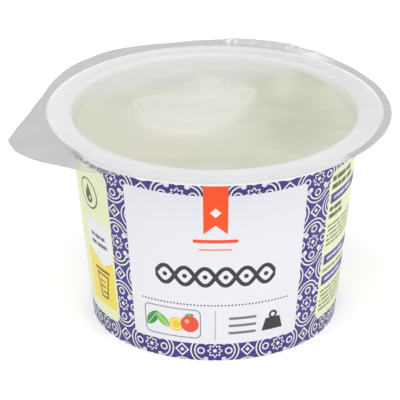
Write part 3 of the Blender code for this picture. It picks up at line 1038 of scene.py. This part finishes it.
def film_rings(film):
    """The film as rings from its middle to its edge: level over the flange, a slight sag and slow
    ripples over the pot, the free edge curled up by bell curves round the rim, and creases."""
    outline = film_outline(film.radius / MM)
    reach = np.linalg.norm(outline, axis=1)
    aim = outline / reach[:, None]
    inner = np.linspace(0.006, 1.0, 60)[:, None, None] * CURL_FROM * aim[None]
    t = np.linspace(0.0, 1.0, 20)[1:, None, None]
    outer = CURL_FROM * aim[None] * (1.0 - t) + outline[None] * t
    flat = np.concatenate([inner, outer])
    x, y = flat[..., 0], flat[..., 1]
    radius = np.hypot(x, y)
    angle = np.degrees(np.arctan2(y, x))
    out = np.clip((radius - CURL_FROM) / (film.radius / MM - CURL_FROM), 0.0, 6.0)
    rise = sum(height * bump(angle, mid, half) for mid, half, height in CURLS)
    inside = 1.0 - smooth(38.0, 42.0, radius)
    z = FILM_LOW[2] + 0.2 - 0.32 * smooth(42.0, 45.0, radius)
    z = z - 0.25 * inside * (1.0 - (radius / 42.0) ** 2)
    z = z + 0.05 * inside * np.sin(x / 6.5 + 0.8 * np.sin(y / 9.0)) + rise * out ** 1.4
    # Each ridge lifts the free edge and marks where a white highlight is painted.
    crease_and_glint = sum(strength * bump(angle, mid, half) for mid, half, strength in CREASE_GLINTS)
    z = z + 0.45 * crease_and_glint * smooth(0.1, 1.0, out)
    z = z + 0.12 * smooth(0.2, 2.0, out) * np.sin(np.radians(angle) * 23.0)
    beside = smooth(-39.4, -35.0, x) * (1.0 - smooth(34.0, 38.5, x)) * (y < 0.0)
    leaves = RIM_R - 0.25 - 0.35 * np.maximum(y / radius, 0.0)
    free = smooth(leaves, leaves + 0.35, radius)
    # Painted shadow: a band of the free film at the front left, just below the lip, where the lip's shade is painted
    # on.
    painted_lip_shadow = bump(radius, 50.2 + 0.20 * (angle + 136.0), 1.15)
    painted_lip_shadow = painted_lip_shadow * smooth(-145.0, -141.5, angle) * (1.0 - smooth(-124.0, -116.0, angle))
    # Painted highlight: a white patch on the free film at the back right.
    glint = bump(angle, 53.0, 7.0) * bump(radius, 48.6, 1.1) * smooth(47.2, 47.9, radius)
    hem = np.concatenate([inner[..., 0] * 0.0, smooth(0.80, 1.0, t[..., 0] + outer[..., 0] * 0.0)])
    marks = {"crease_and_glint": crease_and_glint * smooth(0.0, 0.3, out), "free": free, "beside": beside, "painted_lip_shadow": painted_lip_shadow,
             "glint": glint, "hem": hem}
    top = np.stack([x, y, z], axis=-1)
    bottom = top[::-1] - np.array((0.0, 0.0, FILM_SHEET))
    marks = {name: np.concatenate([value, value[::-1]]) for name, value in marks.items()}
    return np.concatenate([top, bottom]), marks


def film_material(film):
    """Clear film: a light haze over the pot, denser at its free edge, with painted white highlights on its creases
    and at the back right, and painted shadow under the lip at the front left.

    A ray meets the sheet's two skins, so each skin covers 1 - sqrt(1 - cover).
    """
    n = Nodes("clear film")
    vector, _, _, _ = n.place()
    free = n.attribute("free")
    # Painted highlights: the ridge marks and the glint patch turn the film white and more opaque.
    crease_and_glint = n.math("MULTIPLY", n.attribute("crease_and_glint"), n.ramp(n.noise(vector, 0.9, 2.0), 0.42, 0.55))
    crease_and_glint = n.math("MAXIMUM", crease_and_glint, n.math("MULTIPLY", n.attribute("glint"), 0.85))
    mottle = n.noise(vector, 0.35, 3.0)
    tint = n.mix(free, srgb(248, 249, 250), tuple(film.edge))
    tint = n.mix(crease_and_glint, tint, srgb(252, 252, 254))
    # Painted shadow under the lip: dark grey in patches, and more opaque.
    painted_lip_shadow = n.math("MULTIPLY", n.attribute("painted_lip_shadow"), n.ramp(n.noise(vector, 0.6, 2.0), 0.33, 0.50))
    tint = n.mix(painted_lip_shadow, tint, srgb(150, 150, 156))
    loose = n.blend(n.attribute("beside"), 1.0 - math.sqrt(1.0 - 0.86), 1.0 - math.sqrt(1.0 - 0.28))
    loose = n.math("MAXIMUM", loose, n.math("MULTIPLY", n.attribute("hem"), 1.0 - math.sqrt(1.0 - 0.5)))
    loose = n.math("MAXIMUM", loose, n.math("MULTIPLY", painted_lip_shadow, 0.62))
    cover = n.blend(free, 1.0 - math.sqrt(1.0 - film.haze), loose)
    cover = n.math("MAXIMUM", cover, n.math("MULTIPLY", crease_and_glint, 0.8))
    body = n.plastic(tint, n.blend(mottle, 0.12, 0.25), Specular_IOR_Level=0.2)
    through = n.add("ShaderNodeBsdfTranslucent")
    n.feed(through.inputs["Color"], tint)
    veil = n.shade(n.math("MULTIPLY", free, 0.4), body, through.outputs[0])
    clear = n.add("ShaderNodeBsdfTransparent").outputs[0]
    sheet = n.shade(cover, clear, veil)
    facing = n.add("ShaderNodeLayerWeight")
    facing.inputs["Blend"].default_value = 0.5
    shine = n.math("MULTIPLY_ADD", n.math("POWER", facing.outputs["Facing"], 5.0), 0.5, 0.02)
    gloss = n.add("ShaderNodeBsdfGlossy")
    gloss.inputs["Roughness"].default_value = 0.12
    return n.finish(n.shade(shine, sheet, gloss.outputs[0]))


class OBJECT_OT_burrata_film(bpy.types.Operator):
    """Lay the clear film on the flange, with its pull tab and curled free edge"""
    bl_idname = "object.burrata_film"
    bl_label = "Film"

    def execute(self, context):
        film = context.scene.burrata.film
        rings, marks = film_rings(film)
        mesh = ring_mesh("film_lid", rings)
        for name, value in marks.items():
            store(mesh, name, value)
        add_piece("film_lid", mesh, film_material(film), "film")
        return {"FINISHED"}


# ---------------------------------------------------------------- stage

class OBJECT_OT_burrata_stage(bpy.types.Operator):
    """Add the floor, the soft lights and the camera"""
    bl_idname = "object.burrata_stage"
    bl_label = "Stage"

    def execute(self, context):
        scene = context.scene
        n = Nodes("studio floor")
        shader = n.plastic((0.95, 0.95, 0.95), 0.8, Emission_Color=(1.0, 1.0, 1.0), Emission_Strength=0.3)
        material = n.finish(shader)
        mesh = bpy.data.meshes.new("studio_floor")
        half = 3.0
        corners = [(-half, -half, 0.0), (half, -half, 0.0), (half, half, 0.0), (-half, half, 0.0)]
        mesh.from_pydata(corners, [], [(0, 1, 2, 3)])
        mesh.materials.append(material)
        floor = bpy.data.objects.new("studio_floor", mesh)
        scene.collection.objects.link(floor)
        add_light("key", (-0.30, -0.32, 1.05), 0.9, 5.45)
        add_light("fill", (0.50, -0.36, 0.82), 0.8, 2.85)
        world = bpy.data.worlds.new("studio")
        scene.world = world
        world.use_nodes = True
        background = world.node_tree.nodes["Background"]
        background.inputs["Color"].default_value = (1.0, 1.0, 1.0, 1.0)
        background.inputs["Strength"].default_value = 0.48
        scene.view_settings.view_transform = "Standard"
        add_camera(scene)
        return {"FINISHED"}


def add_light(name, place, size, power):
    """Soft square light that looks at the pot."""
    data = bpy.data.lights.new(name, "AREA")
    data.size = size
    data.energy = power
    light = bpy.data.objects.new(name, data)
    light.location = place
    aim = np.array((0.0, 0.0, 0.04)) - np.array(place)
    light.rotation_euler = look(aim)
    bpy.context.scene.collection.objects.link(light)


def look(aim):
    """Turn that points a light's or a camera's -Z along a direction, level."""
    flat = math.hypot(aim[0], aim[1])
    return (math.atan2(flat, -aim[2]), 0.0, math.atan2(-aim[0], aim[1]))


def add_camera(scene):
    """Camera in front of the label and above it, with a long lens."""
    tilt = 0.4415
    data = bpy.data.cameras.new("view")
    data.sensor_width = 36.0
    data.lens = 264.34
    data.clip_start = 0.05
    data.clip_end = 20.0
    camera = bpy.data.objects.new("view", data)
    camera.location = (-0.00418, -0.76257, 0.39385)
    camera.rotation_euler = (math.pi / 2.0 - tilt, 0.0, 0.0)
    scene.collection.objects.link(camera)
    scene.camera = camera


# ---------------------------------------------------------------- panel and registration

BUILD_ORDER = (
    OBJECT_OT_burrata_pot,
    OBJECT_OT_burrata_label,
    OBJECT_OT_burrata_cheese,
    OBJECT_OT_burrata_whey,
    OBJECT_OT_burrata_film,
    OBJECT_OT_burrata_stage,
)


class VIEW3D_PT_burrata(bpy.types.Panel):
    """Lists the operators"""
    bl_label = "Burrata"
    bl_space_type = "VIEW_3D"
    bl_region_type = "UI"
    bl_category = "Burrata"

    def draw(self, context):
        for operator in BUILD_ORDER:
            self.layout.operator(operator.bl_idname)


CLASSES = (
    BurrataPotSettings,
    BurrataLabelSettings,
    BurrataFilmSettings,
    BurrataWheySettings,
    BurrataCheeseSettings,
    BurrataSettings,
    *BUILD_ORDER,
    VIEW3D_PT_burrata,
)


def register():
    for item in CLASSES:
        bpy.utils.register_class(item)
    bpy.types.Scene.burrata = PointerProperty(type=BurrataSettings)


def unregister():
    del bpy.types.Scene.burrata
    for item in reversed(CLASSES):
        bpy.utils.unregister_class(item)


def main():
    register()
    for operator in BUILD_ORDER:
        group, name = operator.bl_idname.split(".")
        getattr(getattr(bpy.ops, group), name)()


if __name__ == "__main__":
    main()
